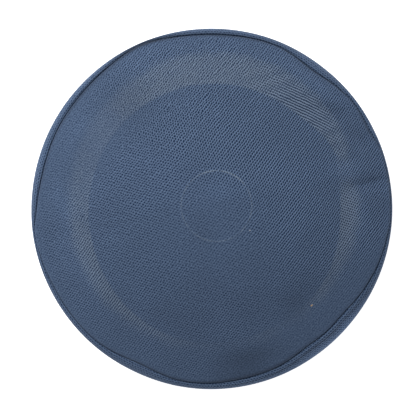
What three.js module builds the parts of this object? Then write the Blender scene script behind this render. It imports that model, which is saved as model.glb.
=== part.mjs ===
import * as THREE from "three";
import { mergeVertices } from "three/addons/utils/BufferGeometryUtils.js";

// A soft round kufi in stiffened dark blue cloth, modelled as it stands on its own rim.
// Millimetres, +Z up, the open rim on z = 0. Angles are in degrees from +X round to +Y, and the
// crease where the cap was folded flat runs through 9 and 189 degrees.
// Two pieces, as it is sewn: the side band, and the crown top that is set into it.

// Driving dimensions
const OUTER_RADIUS = 95;
const RIM_RADIUS = 94.2;
const CAP_HEIGHT = 94;
const SEAM_HEIGHT = 76;
const DOME_EDGE = 1.08;
const CLOTH = 2;
const SEAM_GAP = 0.3;
const SEGMENTS = 96;

// The shoulder, where the band turns over to the crown: the further in the seam, the rounder
const LEAST_SHOULDER = 3.4;
const SHOULDER_PER_INSET = 0.5;

// The seam between crown and band: a groove where both cloths roll in, puckered by the sewing
const GROOVE_DEPTH = 1.4;
const GROOVE_ROLL = 2.2;
const SEAM_ALLOWANCE = 10;
const EVEN_INSET = 2.5;
const LEAST_INSET = 0.6;
const PUCKERS = [
  { at: 8, pull: -3.5, spread: 15 },
  { at: 26, pull: 0.8, spread: 4 },
  { at: 36, pull: -0.6, spread: 5 },
  { at: 54, pull: 2.6, spread: 9 },
  { at: 90, pull: 1, spread: 13 },
  { at: 114, pull: -1.8, spread: 10 },
  { at: 146, pull: 1.3, spread: 22 },
  { at: 168, pull: 1.3, spread: 12 },
  { at: 188, pull: -1.6, spread: 6 },
  { at: 197, pull: -0.7, spread: 7 },
  { at: 245, pull: 3, spread: 11 },
  { at: 290, pull: 2.4, spread: 22 },
  { at: 305, pull: 3, spread: 9 },
  { at: 321, pull: 4.3, spread: 11 },
  { at: 335, pull: 0.9, spread: 7 },
];

// Where the wall stands out or is bowed in at half its height: out at the two folded ends
const WALL_BOWS = [
  { at: 9, out: 0.2, spread: 9 },
  { at: 60, out: -0.6, spread: 22 },
  { at: 128, out: -1.1, spread: 30 },
  { at: 189, out: 0.2, spread: 9 },
  { at: 246, out: -0.8, spread: 24 },
  { at: 310, out: -1.2, spread: 26 },
];

// The hem turned up inside the rim
const HEM_HEIGHT = 20;
const HEM_FOLD = 0.6;

// Marks pressed into the crown: a small circle in the middle and a broad ring round it
const CIRCLE_RADIUS = 18.1;
const CIRCLE_RIDGE = 0.15;
const CIRCLE_WIDTH = 1;
const PRESS_RADIUS = 67.8;
const PRESS_STEP = 0.3;
const PRESS_SOFTNESS = 0.8;
const RING_CENTRES = [
  { radius: CIRCLE_RADIUS, x: 2.4, y: 1.5 },
  { radius: PRESS_RADIUS, x: 1.7, y: -1.4 },
  { radius: 80, x: 0, y: 0 },
];

// Dents in the crown, and ridges where depth is negative: ovals, their long way turned by tilt
const DENTS = [
  { x: 82, y: 13, along: 14, across: 4, tilt: 9, depth: 1.3 },
  { x: 62, y: 7, along: 14, across: 7, tilt: 9, depth: 0.5 },
  { x: -62, y: -11, along: 24, across: 6, tilt: 9, depth: 0.4 },
  { x: 64, y: 51, along: 10, across: 4, tilt: -15, depth: 0.8 },
  { x: 78, y: 36, along: 8, across: 4, tilt: -40, depth: 0.8 },
  { x: 49, y: 68, along: 15, across: 4, tilt: -36, depth: -0.7 },
  { x: 49, y: -43, along: 14, across: 9, tilt: 40, depth: 0.9 },
  { x: 22, y: -78, along: 12, across: 6, tilt: 12, depth: 0.8 },
  { x: -25, y: -60, along: 9, across: 6, tilt: -25, depth: 0.5 },
  { x: -81, y: -18, along: 7, across: 5, tilt: 80, depth: 0.5 },
  { x: -4, y: -7, along: 6, across: 4, tilt: -20, depth: 0.5 },
];

// Where the rings of vertices lie: radii on the crown, distances from the seam at its lips, and
// heights on the band's wall
const CROWN_RINGS = [0, 9, 16.7, 18.1, 19.5, 34, 48, 59, 66.3, 67.8, 69.5, 76];
const UNDERSIDE_RINGS = [79, 64, 44, 22, 0];
const LIP_STEPS = [0.35, 0.9, 1.6, 2.4];
const CROWN_EDGE_STEPS = [4.4, 8];
const SHOULDER_STEPS = 5;
const UNDER_SHOULDER = 4;
const WALL_HEIGHTS = [56, 38, 20, 6, 0];

// The inside corners, where each cloth turns down from the seam
const LIP_UNDER = 1.5;
const CORNER_DROP = 1;
const CORNER_RISE = 1.5;
const CROWN_CORNER = 1.6;

const WALL_TOP = SEAM_HEIGHT - LEAST_SHOULDER;
const DOME_RADIUS = OUTER_RADIUS - LEAST_SHOULDER;

const crownCloth = new THREE.MeshStandardMaterial({
  name: "crown_cloth",
  color: 0x495871,
  roughness: 0.85,
  metalness: 0,
});
const bandCloth = new THREE.MeshStandardMaterial({
  name: "band_cloth",
  color: 0x4d5d76,
  roughness: 0.85,
  metalness: 0,
});

const bell = (offset, spread) => Math.exp(-((offset / spread) ** 2));
const radians = THREE.MathUtils.degToRad;

// Degrees from one direction round to another, between -180 and 180
function turnBetween(from, to) {
  return THREE.MathUtils.euclideanModulo(to - from + 180, 360) - 180;
}

// How far the seam lies inside the cap's outline, at an angle
function seamInset(angle) {
  let inset = EVEN_INSET;
  for (const { at, pull, spread } of PUCKERS) {
    inset += pull * bell(turnBetween(at, angle), spread);
  }
  return Math.max(inset, LEAST_INSET);
}

function shoulderRound(angle) {
  return LEAST_SHOULDER + SHOULDER_PER_INSET * seamInset(angle);
}

// The crown's height over a point: a shallow dome that levels off at its edge, the pressed marks
// and the dents
function crownHeight(x, y) {
  const share = Math.min(Math.hypot(x, y) / DOME_RADIUS, 1);
  const dome = (CAP_HEIGHT - SEAM_HEIGHT) * (1 - share ** 2) ** DOME_EDGE;
  const [circle, press] = RING_CENTRES;
  const fromCircle = Math.hypot(x - circle.x, y - circle.y) - CIRCLE_RADIUS;
  const fromPress = Math.hypot(x - press.x, y - press.y) - PRESS_RADIUS;
  const ridge = CIRCLE_RIDGE * bell(fromCircle, CIRCLE_WIDTH);
  const outside = THREE.MathUtils.smoothstep(fromPress, -PRESS_SOFTNESS, PRESS_SOFTNESS);
  const dents = DENTS.reduce((sum, dent) => sum + dentDepth(dent, x, y), 0);
  return SEAM_HEIGHT + dome + ridge - PRESS_STEP * outside * (1 - share) - dents;
}

function dentDepth(dent, x, y) {
  const tilt = radians(dent.tilt);
  const dx = x - dent.x;
  const dy = y - dent.y;
  const along = dx * Math.cos(tilt) + dy * Math.sin(tilt);
  const across = dy * Math.cos(tilt) - dx * Math.sin(tilt);
  return dent.depth * bell(along, dent.along) * bell(across, dent.across);
}

// The outside of the band under its shoulder
function wallRadius(z, angle) {
  const rise = Math.min(z / WALL_TOP, 1);
  const lean = (OUTER_RADIUS - RIM_RADIUS) * Math.sin((rise * Math.PI) / 2);
  let bow = 0;
  for (const { at, out, spread } of WALL_BOWS) {
    bow += out * bell(turnBetween(at, angle), spread);
  }
  return RIM_RADIUS + lean + bow * Math.sin(rise * Math.PI);
}

// A point on the outline of the cap cut through at an angle, and which way is out there.
// Travel is measured over the cloth from the top of the straight wall, up and inwards.
function outline(travel, angle) {
  const round = shoulderRound(angle);
  if (travel < 0) {
    const z = SEAM_HEIGHT - round + travel;
    return { r: wallRadius(z, angle), z, out: new THREE.Vector2(1, 0) };
  }
  const quarter = (round * Math.PI) / 2;
  const up = Math.min(travel, quarter) / round;
  const out = new THREE.Vector2(Math.cos(up), Math.sin(up));
  const flat = Math.max(travel - quarter, 0);
  const r = OUTER_RADIUS - round * (1 - out.x) - flat;
  const top = crownHeight(r * Math.cos(radians(angle)), r * Math.sin(radians(angle)));
  return { r, z: top - round * (1 - out.y), out };
}

// Where the seam crosses that outline, as travel
function seamTravel(angle) {
  const inset = seamInset(angle);
  const round = shoulderRound(angle);
  const onRound = Math.min(inset / round, 1);
  return round * Math.acos(1 - onRound) + Math.max(inset - round, 0);
}

// The cloth's surface near the seam, rolled down into the groove
function rolledPoint(travel, fromSeam, angle) {
  const { r, z, out } = outline(travel, angle);
  const share = Math.min(fromSeam / GROOVE_ROLL, 1);
  const dip = GROOVE_DEPTH * (1 - Math.sqrt(1 - (1 - share) ** 2));
  return new THREE.Vector2(r - dip * out.x, z - dip * out.y);
}

// The plane that parts the two cloths in the seam: the bottom of the groove and the way across
// it, the radius where it hangs straight, and the heights of its corner and its end
function seamPlane(angle) {
  const { r, z, out } = outline(seamTravel(angle), angle);
  const bottom = new THREE.Vector2(r, z).addScaledVector(out, -GROOVE_DEPTH);
  const across = new THREE.Vector2(1 + out.y, -out.x).setLength(SEAM_GAP / 2);
  const end = SEAM_HEIGHT - SEAM_ALLOWANCE;
  const straight = Math.min(bottom.x, wallRadius(end, angle) - CLOTH - SEAM_GAP / 2);
  return { bottom, across, straight, corner: bottom.y - LIP_UNDER, end };
}

function onCircle(point, angle) {
  const turn = radians(angle);
  return new THREE.Vector3(point.x * Math.cos(turn), point.x * Math.sin(turn), point.y);
}

// A point on one of the crown's rings, at a depth under its face; the rings follow the marks
function crownRing(radius, depth, angle) {
  const after = RING_CENTRES.findIndex((centre) => centre.radius >= radius);
  const next = RING_CENTRES[after];
  const last = RING_CENTRES[Math.max(after - 1, 0)];
  const share = next === last ? 0 : (radius - last.radius) / (next.radius - last.radius);
  const x = THREE.MathUtils.lerp(last.x, next.x, share) + radius * Math.cos(radians(angle));
  const y = THREE.MathUtils.lerp(last.y, next.y, share) + radius * Math.sin(radians(angle));
  return new THREE.Vector3(x, y, crownHeight(x, y) - depth);
}

// The crown's section, from the middle underneath: out, round its seam allowance, and over the
// top. It is worked out from the top, because the underside follows it, and then reversed.
function crownSection(angle) {
  const travel = seamTravel(angle);
  const { bottom, across, straight, corner, end } = seamPlane(angle);
  const face = straight - SEAM_GAP / 2;
  const edge = [...LIP_STEPS, ...CROWN_EDGE_STEPS].reverse();
  const section = [
    ...edge.map((step) => rolledPoint(travel + step, step, angle)),
    bottom.clone().sub(across),
    new THREE.Vector2(face, corner),
    new THREE.Vector2(face, end),
    new THREE.Vector2(face - CLOTH, end),
    new THREE.Vector2(face - CLOTH, SEAM_HEIGHT - 2 * CLOTH - CORNER_DROP),
    new THREE.Vector2(face - CLOTH - CROWN_CORNER, SEAM_HEIGHT - CLOTH),
  ];
  return [
    ...CROWN_RINGS.map((radius) => crownRing(radius, 0, angle)),
    ...section.map((point) => onCircle(point, angle)),
    ...UNDERSIDE_RINGS.map((radius) => crownRing(radius, CLOTH, angle)),
  ].reverse();
}

// The band's section: up the outside, over the shoulder into the groove, and down the inside
function bandSection(angle) {
  const travel = seamTravel(angle);
  const { bottom, across, straight, corner } = seamPlane(angle);
  const lip = travel - LIP_STEPS.at(-1);
  const wallPoint = (z, depth) => new THREE.Vector2(wallRadius(z, angle) - depth, z);
  const insideCorner = SEAM_HEIGHT - shoulderRound(angle) + CORNER_RISE;
  const shoulder = Array.from({ length: SHOULDER_STEPS }, (_, step) => {
    const along = THREE.MathUtils.lerp(-UNDER_SHOULDER, lip, step / SHOULDER_STEPS);
    return rolledPoint(along, GROOVE_ROLL, angle);
  });
  const section = [
    ...WALL_HEIGHTS.toReversed().map((z) => wallPoint(z, 0)),
    ...shoulder,
    ...LIP_STEPS.toReversed().map((step) => rolledPoint(travel - step, step, angle)),
    bottom.clone().add(across),
    new THREE.Vector2(straight + SEAM_GAP / 2, corner),
    wallPoint(Math.min(insideCorner, corner - CORNER_DROP), CLOTH),
    ...WALL_HEIGHTS.filter((z) => z > HEM_HEIGHT).map((z) => wallPoint(z, CLOTH)),
    wallPoint(HEM_HEIGHT + HEM_FOLD, CLOTH),
    wallPoint(HEM_HEIGHT, CLOTH + HEM_FOLD),
    wallPoint(0, CLOTH + HEM_FOLD),
  ];
  return section.map((point) => onCircle(point, angle));
}

// Cut each four-sided facet of a lathe across its other diagonal
function swapDiagonals(geometry) {
  const index = geometry.getIndex();
  for (let start = 0; start < index.count; start += 6) {
    const [a, b, d, c] = [0, 1, 2, 3].map((offset) => index.getX(start + offset));
    [a, b, c, c, d, a].forEach((vertex, offset) => index.setX(start + offset, vertex));
  }
}

// A lathe whose section changes as it turns. The crown's section runs up through the seam and the
// band's runs down, so the crown's diagonals are swapped and both sides of the seam fit.
function turnedGeometry(sectionAt, closed) {
  const profile = sectionAt(0).map(({ x, z }) => new THREE.Vector2(x, z));
  if (closed) profile.push(profile[0]);
  const geometry = new THREE.LatheGeometry(profile, SEGMENTS);
  if (!closed) swapDiagonals(geometry);
  const position = geometry.getAttribute("position");
  for (let segment = 0; segment <= SEGMENTS; segment += 1) {
    const section = sectionAt(((segment % SEGMENTS) * 360) / SEGMENTS);
    profile.forEach((_, index) => {
      const { x, y, z } = section[index % section.length];
      position.setXYZ(segment * profile.length + index, x, y, z);
    });
  }
  geometry.deleteAttribute("normal");
  geometry.deleteAttribute("uv");
  const whole = mergeVertices(geometry);
  whole.computeVertexNormals();
  return whole;
}

function crownTop() {
  const mesh = new THREE.Mesh(turnedGeometry(crownSection, false), crownCloth);
  mesh.name = "crown_top";
  return mesh;
}

function sideBand() {
  const mesh = new THREE.Mesh(turnedGeometry(bandSection, true), bandCloth);
  mesh.name = "side_band";
  return mesh;
}

const kufi = new THREE.Group();
kufi.name = "kufi";
kufi.add(crownTop(), sideBand());

export default kufi;
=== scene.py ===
# A round kufi in stiffened blue cloth, dressed for its looks around the frame that holds its solids.
# It is laid out as a Blender add-on and run as a script: main() builds every piece in order.
import math
from collections import namedtuple
from functools import partial

import bpy
import numpy as np
from bpy.props import FloatProperty, FloatVectorProperty, PointerProperty
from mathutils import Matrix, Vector
from mathutils.geometry import delaunay_2d_cdt


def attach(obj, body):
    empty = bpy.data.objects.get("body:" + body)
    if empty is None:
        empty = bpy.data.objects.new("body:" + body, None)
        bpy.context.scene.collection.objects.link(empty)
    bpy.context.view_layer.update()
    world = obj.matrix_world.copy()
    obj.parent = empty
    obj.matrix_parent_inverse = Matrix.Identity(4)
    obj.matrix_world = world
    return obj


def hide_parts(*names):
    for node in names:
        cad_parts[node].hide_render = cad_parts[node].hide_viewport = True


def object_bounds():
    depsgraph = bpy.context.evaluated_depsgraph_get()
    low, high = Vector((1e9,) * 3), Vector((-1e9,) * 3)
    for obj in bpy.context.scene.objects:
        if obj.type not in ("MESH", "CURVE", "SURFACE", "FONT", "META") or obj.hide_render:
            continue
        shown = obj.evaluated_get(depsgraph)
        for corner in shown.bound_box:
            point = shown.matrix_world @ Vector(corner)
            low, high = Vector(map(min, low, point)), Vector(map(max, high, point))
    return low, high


bl_info = {
    "name": "Kufi",
    "version": (1, 0, 0),
    "blender": (4, 5, 0),
    "location": "View3D > Sidebar > Kufi",
    "description": "Builds a round kufi: its crown, its side band, the stitches of its hem and a stage",
    "category": "Add Mesh",
}

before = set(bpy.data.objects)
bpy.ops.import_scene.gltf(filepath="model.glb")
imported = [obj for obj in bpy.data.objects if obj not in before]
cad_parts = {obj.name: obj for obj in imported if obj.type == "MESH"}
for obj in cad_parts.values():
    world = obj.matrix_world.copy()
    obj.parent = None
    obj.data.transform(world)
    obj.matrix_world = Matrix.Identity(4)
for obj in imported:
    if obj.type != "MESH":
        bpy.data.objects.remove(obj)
CAD_LOW, CAD_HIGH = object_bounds()

MM = 0.001
TURN = 2 * math.pi
CAD_RADIUS = (CAD_HIGH.x - CAD_LOW.x) / 2

# The seam's puckers: where round the cap, how far each pulls the seam in, and its spread
Pucker = namedtuple("Pucker", "at pull spread")
PUCKERS = (
    Pucker(8, -3.5 * MM, 15),
    Pucker(26, 0.8 * MM, 4),
    Pucker(36, -0.6 * MM, 5),
    Pucker(54, 2.6 * MM, 9),
    Pucker(90, 1.0 * MM, 13),
    Pucker(114, -1.8 * MM, 10),
    Pucker(146, 1.3 * MM, 22),
    Pucker(168, 1.3 * MM, 12),
    Pucker(188, -1.6 * MM, 6),
    Pucker(197, -0.7 * MM, 7),
    Pucker(245, 3.0 * MM, 11),
    Pucker(290, 2.4 * MM, 22),
    Pucker(305, 3.0 * MM, 9),
    Pucker(321, 4.3 * MM, 11),
    Pucker(335, 0.9 * MM, 7),
)
EVEN_INSET = 2.5 * MM
LEAST_INSET = 0.6 * MM

# Where the wall stands out or is bowed in at half its height
Bow = namedtuple("Bow", "at out spread")
WALL_BOWS = (
    Bow(9, 0.2 * MM, 9),
    Bow(60, -0.6 * MM, 22),
    Bow(128, -1.1 * MM, 30),
    Bow(189, 0.2 * MM, 9),
    Bow(246, -0.8 * MM, 24),
    Bow(310, -1.2 * MM, 26),
)

# The crease where the cap was folded flat runs through the band at both its ends, and the band is
# closed by a seam at the first
FOLD_TURN = 9.2
FOLD_ENDS = (FOLD_TURN, FOLD_TURN + 180)

# Marks pressed into the crown, the small circle's low ridge and the step at the ring's inner edge
Mark = namedtuple("Mark", "radius x y")
SMALL_CIRCLE = Mark(18.1 * MM, 2.4 * MM, 1.5 * MM)
PRESSED_RING = Mark(67.8 * MM, 1.7 * MM, -1.4 * MM)
RING_OUTSIDE = Mark(80 * MM, 0.9 * MM, 3.9 * MM)
CIRCLE_RIDGE = 0.08 * MM
CIRCLE_WIDTH = 0.7 * MM
PRESS_STEP = 0.3 * MM
PRESS_SOFTNESS = 0.8 * MM

# The ring's shine, in millimetres: how far from the inner edge it begins and is full, over how far
# it is lost outside, and how ragged that is
RING_START = -0.2
RING_FULL = 1.8
RING_LOSS = 9.0
RING_RAGGED = 9.0

# How strongly the marks shine, and where round them more or less: direction, strength and spread
# in degrees
Glint = namedtuple("Glint", "at strength spread")
RING_SHINE = 0.36
CIRCLE_SHINE = 0.5
RING_GLINTS = (
    Glint(16, -0.36, 9),
    Glint(46, 0.3, 16),
    Glint(70, 0.45, 14),
    Glint(98, 0.4, 18),
    Glint(142, -0.18, 24),
    Glint(205, 0.45, 25),
    Glint(251, 0.15, 8),
    Glint(290, -0.4, 40),
    Glint(292, 0.25, 6),
    Glint(324, 0.35, 7),
    Glint(357, 0.25, 10),
)
# Where in the ring each family of the weave's rows shows more or less than elsewhere, where its
# rows are pressed wider apart, and where the weave is pressed away
STREAK_GLINTS = (
    Glint(0, -0.5, 12),
    Glint(85, -0.5, 30),
    Glint(215, 0.3, 35),
)
ROW_GLINTS = (
    Glint(0, 0.7, 14),
    Glint(90, -0.3, 22),
    Glint(222, -0.3, 35),
)
COLUMN_GLINTS = (Glint(90, -0.3, 25),)
WIDE_ROWS = (Glint(48, 1.0, 21),)
PRESSED_AWAY = (Glint(145, -0.45, 38),)
CIRCLE_GLINTS = (
    Glint(53, 1.6, 9),
    Glint(76, 1.0, 12),
    Glint(107, 1.6, 9),
)

# Painted shade in the seam's groove: how light the cloth is left down in it, and how far from it
# that shade reaches in millimetres, at the front and where it differs round the cap
GROOVE_SHADE_TONE = 0.92
GROOVE_SHADE_REACH = 1.5
GROOVE_SHADE_TONES = (
    Glint(32, -0.15, 14),
    Glint(92, -0.25, 45),
    Glint(162, 0.15, 14),
)
CROWN_SHADE_REACHES = (
    Glint(30, 2.0, 14),
    Glint(75, 2.0, 25),
    Glint(135, 4.0, 32),
)
BAND_SHADE_REACHES = (Glint(90, 2.0, 50),)
# The weave is rubbed flat beside the seam: from where it grows clearer to where it is wholly clear,
# in millimetres, how clear it is before that, and how much further it is rubbed at the back
RUBBED_START = 2.0
RUBBED_REACH = 8.0
RUBBED_CLEAR = 0.45
RUBBED_REACHES = (Glint(72, 9.0, 32),)

# Strips of painted shade along the seam, and of painted light where a strength is negative: how
# far from it their middle lies, how far their edges fade from there, both in millimetres, and where
# round the cap. The band's are a fine crease, its shoulder, and where the seam lies at the outline.
Strip = namedtuple("Strip", "place inner outer turns")
SEAM_SHADE_TURNS = (
    Glint(84, 0.25, 16),
    Glint(114, 0.5, 9),
    Glint(142, 0.35, 20),
    Glint(166, 0.2, 10),
    Glint(272, 0.25, 22),
    Glint(298, 0.2, 8),
)
CROWN_STRIPS = (Strip(1.5, 0.5, 1.6, SEAM_SHADE_TURNS),)
BAND_STRIPS = (
    Strip(3.2, 0.1, 0.55, (Glint(72, 0.3, 20), Glint(300, 0.45, 32))),
    Strip(8.0, 2.0, 4.5, (Glint(134, 0.2, 18), Glint(314, -0.35, 15))),
    Strip(1.5, 1.0, 3.0, (Glint(113, 0.5, 12),)),
)

# How far out the ring's inner edge is worn off, in millimetres
RING_WEAR = (
    Glint(28, 4.5, 14),
    Glint(255, 2.6, 40),
    Glint(325, 2.0, 20),
)

# Soft patches of painted light on the crown's cloth, and of painted shade where change is negative:
# ovals on the flat cloth, their long way turned by tilt. Millimetres and degrees.
Patch = namedtuple("Patch", "x y along across tilt change")
PAINTED_PATCHES = (
    Patch(22, -82, 20, 7, 14, -0.26),
    Patch(20, -92, 26, 5, 12, -0.18),
    Patch(5, -50, 50, 14, 0, -0.03),
    Patch(-30, 62, 45, 18, 15, -0.03),
    Patch(74, -16, 10, 7, 80, 0.05),
    Patch(47, -49, 12, 7, 40, -0.15),
    Patch(5, 9, 12, 6, 0, 0.14),
    Patch(-4, -12, 7, 6, 0, -0.15),
    Patch(-22, -60, 26, 12, -10, -0.035),
    Patch(-44, 58, 20, 12, 40, -0.14),
    Patch(-67, 57, 12, 8, 50, -0.06),
    Patch(-70, -33, 14, 6, -65, 0.15),
    Patch(-81, -31, 8, 5, -65, 0.08),
    Patch(-67, -17, 7, 7, 0, -0.05),
    Patch(-80, -3, 9, 5, 90, 0.13),
    Patch(-87, 8, 10, 3, 90, 0.1),
    Patch(-77, 41, 14, 3.5, 62, 0.08),
    Patch(70, 53, 9, 5, -35, -0.13),
    Patch(60, 66, 14, 4, -33, 0.16),
    Patch(58, 76.5, 12, 3, -33, -0.12),
    Patch(74, 21, 11, 5.5, 10, 0.19),
    Patch(82, -5, 11, 6, 90, 0.16),
    Patch(44, 18, 16, 9, 0, 0.08),
    Patch(36, 10, 44, 26, 0, 0.05),
)

# Specks of lint on the crown, by their place on the flat cloth in millimetres
Speck = namedtuple("Speck", "x y radius colour")
LINT = (
    Speck(55.0, -52.3, 0.36, (0.55, 0.36, 0.17)),
    Speck(55.5, -51.9, 0.32, (0.50, 0.33, 0.17)),
    Speck(19.6, -11.0, 0.3, (0.42, 0.45, 0.48)),
)

# Dents in the crown, and ridges where depth is negative: ovals, their long way turned by tilt.
# Millimetres and degrees.
Dent = namedtuple("Dent", "x y along across tilt depth")
DENTS = (
    Dent(82, 13, 14, 4, 9, 1.3),
    Dent(62, 7, 14, 7, 9, 0.5),
    Dent(-62, -11, 24, 6, 9, 0.4),
    Dent(64, 51, 10, 4, -15, 0.8),
    Dent(78, 36, 8, 4, -40, 0.8),
    Dent(49, 68, 15, 4, -36, -0.7),
    Dent(49, -43, 14, 9, 40, 0.9),
    Dent(22, -78, 12, 6, 12, 0.8),
    Dent(-25, -60, 9, 6, -25, 0.5),
    Dent(-81, -18, 7, 5, 80, 0.5),
    Dent(-4, -7, 6, 4, -20, 0.5),
)

# Sharper marks, too fine for the solids: the fold's crease, then small wrinkles
FINE_DENTS = (
    Dent(83, 14.2, 9, 1.1, 14, 0.45),
    Dent(-46, -5.3, 16, 1.0, 9.7, -0.12),
    Dent(47, 70.5, 11, 1.3, -36, -0.2),
    Dent(61, 62.7, 6, 1.3, -15, -0.2),
    Dent(66, 50.5, 5, 1.6, -15, 0.25),
    Dent(35, -52.2, 7, 2.5, -17, -0.3),
)

# The cloth's slow unevenness: the wave's length, its height and how many waves cross each other
Ripple = namedtuple("Ripple", "length height waves")
RIPPLES = (
    Ripple(46 * MM, 0.05 * MM, 7),
    Ripple(21 * MM, 0.02 * MM, 9),
)
RIPPLE_SEED = 11

# How steeply the dome of the crown ends, the groove of the seam, and how each cloth turns down
# behind it
DOME_EDGE = 1.08
GROOVE_DEPTH = 1.4 * MM
GROOVE_ROLL = 2.2 * MM
SHOULDER_PER_INSET = 0.5
SEAM_ALLOWANCE = 10 * MM
LIP_UNDER = 1.5 * MM
CORNER_DROP = 1 * MM
CORNER_RISE = 1.5 * MM
CROWN_CORNER = 1.6 * MM

# Where the rings of vertices lie, as distances from the seam, and how many lie beyond
LIP_STEPS = tuple(step * MM for step in (0.2, 0.35, 0.55, 0.8, 1.1, 1.45, 1.85, 2.3, 2.9, 3.7, 4.8))
BAND_LIP_RINGS = 8
FIELD_RADIUS = 79 * MM
FIELD_GAP = 0.45 * MM
EDGE_RINGS = 9
FAR_FROM_SEAM = 30 * MM
ROUND_STEPS = 576
SHOULDER_RINGS = 12
UNDER_SHOULDER = 3 * MM
WALL_RINGS = 44
UNDERSIDE_RADII = tuple(radius * MM for radius in (79, 66, 52))
UNDERSIDE_SPACING = 6 * MM

# The heights of the band's rings inside, on the turned up hem and above it
HEM_RINGS = tuple(height * MM for height in (6, 12, 16, 17, 18))
INSIDE_RINGS = tuple(height * MM for height in (26, 34, 42, 50, 58, 65))

# How many vertices of the crown's field a cell of the weave has along its diagonal and across, and
# how far beside a folded end the band's columns lie closer together, and how close, in degrees
FIELD_DIAGONAL = 4
FIELD_ACROSS = 3
FINE_REACH = 1.5
FINE_STEP = 0.15

# The band's folded ridges and its closing seam, with their spreads in degrees; how much more uneven
# than the crown it is; how far the hem stitches pull its cloth in, outside and inside, and over
# what width; and how round the rim and the cut edge of the crown's seam allowance are
FOLD_RIDGE = 0.3 * MM
FOLD_SPREAD = 1.6
CLOSING_DEPTH = 0.7 * MM
CLOSING_SPREAD = 0.38
BAND_UNEVENNESS = 1.6
STITCH_PULL = 0.16 * MM
INSIDE_PULL = 0.12 * MM
PULL_WIDTH = 1.1 * MM
RIM_ROUND = 1.1 * MM
ALLOWANCE_ROUND = 0.4 * MM

# The end of the turned up hem: how far under it the last straight ring lies, how far it leans, how
# round it is, and its step up to the wall
HEM_EDGE = 0.8 * MM
HEM_LEAN = 0.25 * MM
HEM_ROUND = 0.2 * MM
HEM_STEP = 0.1 * MM

# How far a hem stitch stands out of the cloth and is sunk into it at its ends
STITCH_RISE = 0.45 * MM
STITCH_SUNK = 0.35 * MM

# The weave of both cloths: a half-drop lattice of pits, in millimetres, how far it is turned on the
# crown, in degrees, and its families, as turns along and across a cell: the slanting streaks, the
# rows, the columns, and the rows where they are pressed wider apart
CELL_LENGTH = 2.4
CELL_WIDTH = 1.6
GRAIN_TURN = 17.4
WEAVE_FAMILIES = ((1, -1), (1, 1), (2, 0), (1, 0.8))

# How the weave strays: the length and the reach of its slow wander, and the length over which
# single yarns stray, in millimetres; then the noises that make its relief uneven
WANDER_LENGTH = 40
WANDER_REACH = 1.5
STRAY_LENGTH = 3
Noise = namedtuple("Noise", "scale detail height")
YARN_NOISES = (Noise(1.1, 1.0, 2.0), Noise(3.0, 2.0, 1.0))

# The heights in that relief up to which only the pits' colour shows, and from which only the yarns'
PIT_TOP = 0.4
YARN_TOP = 2.6

# How the weave's strengths, its clearness and its straying change across the crown: along a way,
# between two distances from the middle in millimetres, from one value to another
Change = namedtuple("Change", "way reach values")
STREAKS = Change((0.7, 0.7), (-15.0, 55.0), (0.5, 1.5))
ROWS = Change((-0.5, 0.87), (-50.0, 30.0), (0.3, 0.5))
COLUMNS = Change((0.5, 0.87), (-5.0, 35.0), (0.2, 0.9))
FAINT_FRONT = Change((0.62, -0.78), (58.0, 84.0), (1.0, 0.35))
STRAYING = Change((-0.7, 0.7), (0.0, 60.0), (0.8, 1.7))

# The place on the crown where the weave is worn most and the length of the blotches of both cloths
# and of the crown's small ones, all in millimetres; and how rough the cloth is, loose and pressed
WORN_PLACE = (0, -12, 0)
BLOTCH_LENGTH = 30
SMALL_BLOTCH_LENGTH = 9
LOOSE_ROUGHNESS = 0.85
PRESSED_ROUGHNESS = 0.65

# The side of the square of flat cloth that a piece's map covers, in metres. Towards the seam the
# crown's cloth is drawn together, more along X than along Y, by these shares at this radius.
CLOTH_MAP_SPAN = 0.7
DRAWN_RADIUS = 58 * MM
DRAWN_X = 0.042
DRAWN_Y = 0.027

LengthProperty = partial(FloatProperty, unit="LENGTH")
ColourProperty = partial(FloatVectorProperty, min=0, max=1, subtype="COLOR")


class KufiSizes(bpy.types.PropertyGroup):
    """Sizes of the cap."""

    outer_radius: LengthProperty(
        name="Outer radius",
        description="Radius of the cap at its shoulder, where it is widest",
        default=CAD_RADIUS,
    )
    rim_radius: LengthProperty(
        name="Rim radius",
        description="Outer radius of the band at the open rim",
        default=94.2 * MM,
    )
    cap_height: LengthProperty(
        name="Cap height",
        description="Height of the middle of the crown",
        default=94 * MM,
    )
    seam_height: LengthProperty(
        name="Seam height",
        description="Height of the crown where its dome ends",
        default=76 * MM,
    )
    cloth: LengthProperty(
        name="Cloth",
        description="Thickness of the stiffened cloth",
        default=2 * MM,
    )
    least_shoulder: LengthProperty(
        name="Least shoulder",
        description="Radius of the shoulder where the seam lies at the outline",
        default=3.4 * MM,
    )
    seam_gap: LengthProperty(
        name="Seam gap",
        description="Gap between the crown and the band in the seam",
        default=0.3 * MM,
    )
    hem_height: LengthProperty(
        name="Hem height",
        description="How far the band is turned up inside the rim",
        default=20 * MM,
    )
    hem_fold: LengthProperty(
        name="Hem fold",
        description="How far the turned up cloth stands inside the wall",
        default=0.6 * MM,
    )
    stitch_height: LengthProperty(
        name="Stitch height",
        description="Height of the row of stitches that holds the hem",
        default=17 * MM,
    )
    stitch_pitch: LengthProperty(
        name="Stitch pitch",
        description="Distance from one hem stitch to the next",
        default=3.4 * MM,
    )
    stitch_length: LengthProperty(
        name="Stitch length",
        description="Visible length of one hem stitch",
        default=2.6 * MM,
    )
    thread_radius: LengthProperty(
        name="Thread radius",
        description="Radius of the sewing thread",
        default=0.22 * MM,
    )


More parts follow.
